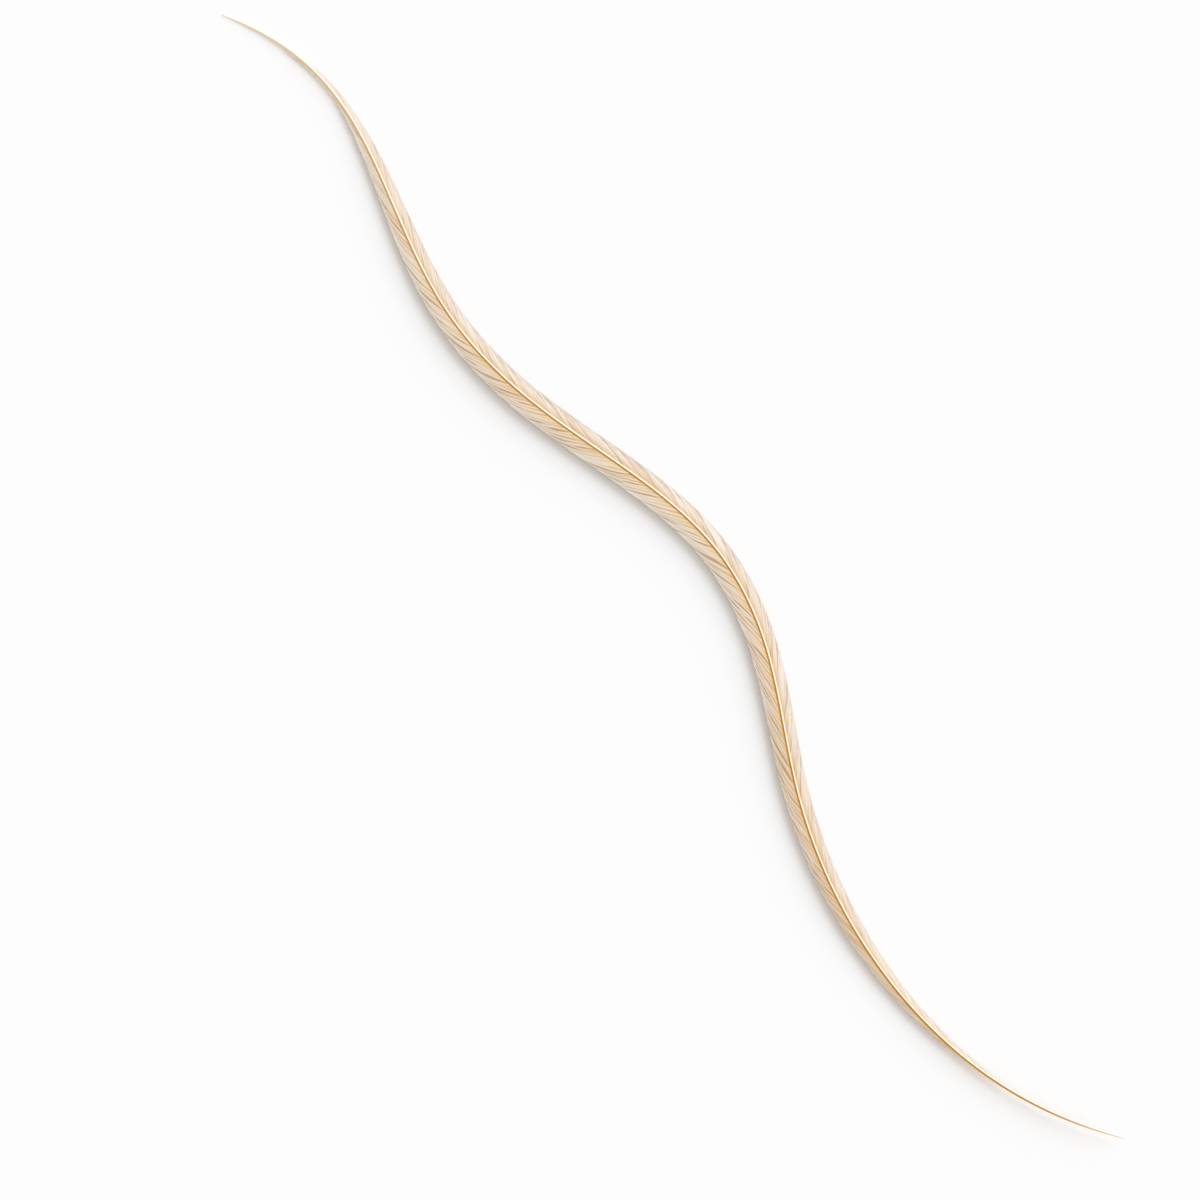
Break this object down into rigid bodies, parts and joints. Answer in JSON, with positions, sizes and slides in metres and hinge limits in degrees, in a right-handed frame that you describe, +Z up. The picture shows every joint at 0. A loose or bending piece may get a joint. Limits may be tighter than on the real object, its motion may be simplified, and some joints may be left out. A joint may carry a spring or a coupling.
{
  "type": "rooster feather",
  "caption": "Long, narrow bird feather lying on a surface: a fine S-curved shaft with a soft vane of barbs on each side, thinning to a hair at both ends.",
  "frame": {"origin": "on the surface that the feather lies on, under the middle of its outline", "axes": "+X runs from the quill end towards the tip, +Z is up from the surface, and +Y is to the left of the way from quill to tip"},
  "size_m": [0.24, 0.0258, 0.0023],
  "materials": {
    "vane": "soft, silky and slightly see-through barbs, tan at the shaft and near white at the edges",
    "shaft": "smooth, glossy golden-brown horn with a cream ridge"
  },
  "bodies": {
    "root": {"feather": "vane"}
  },
  "joints": []
}
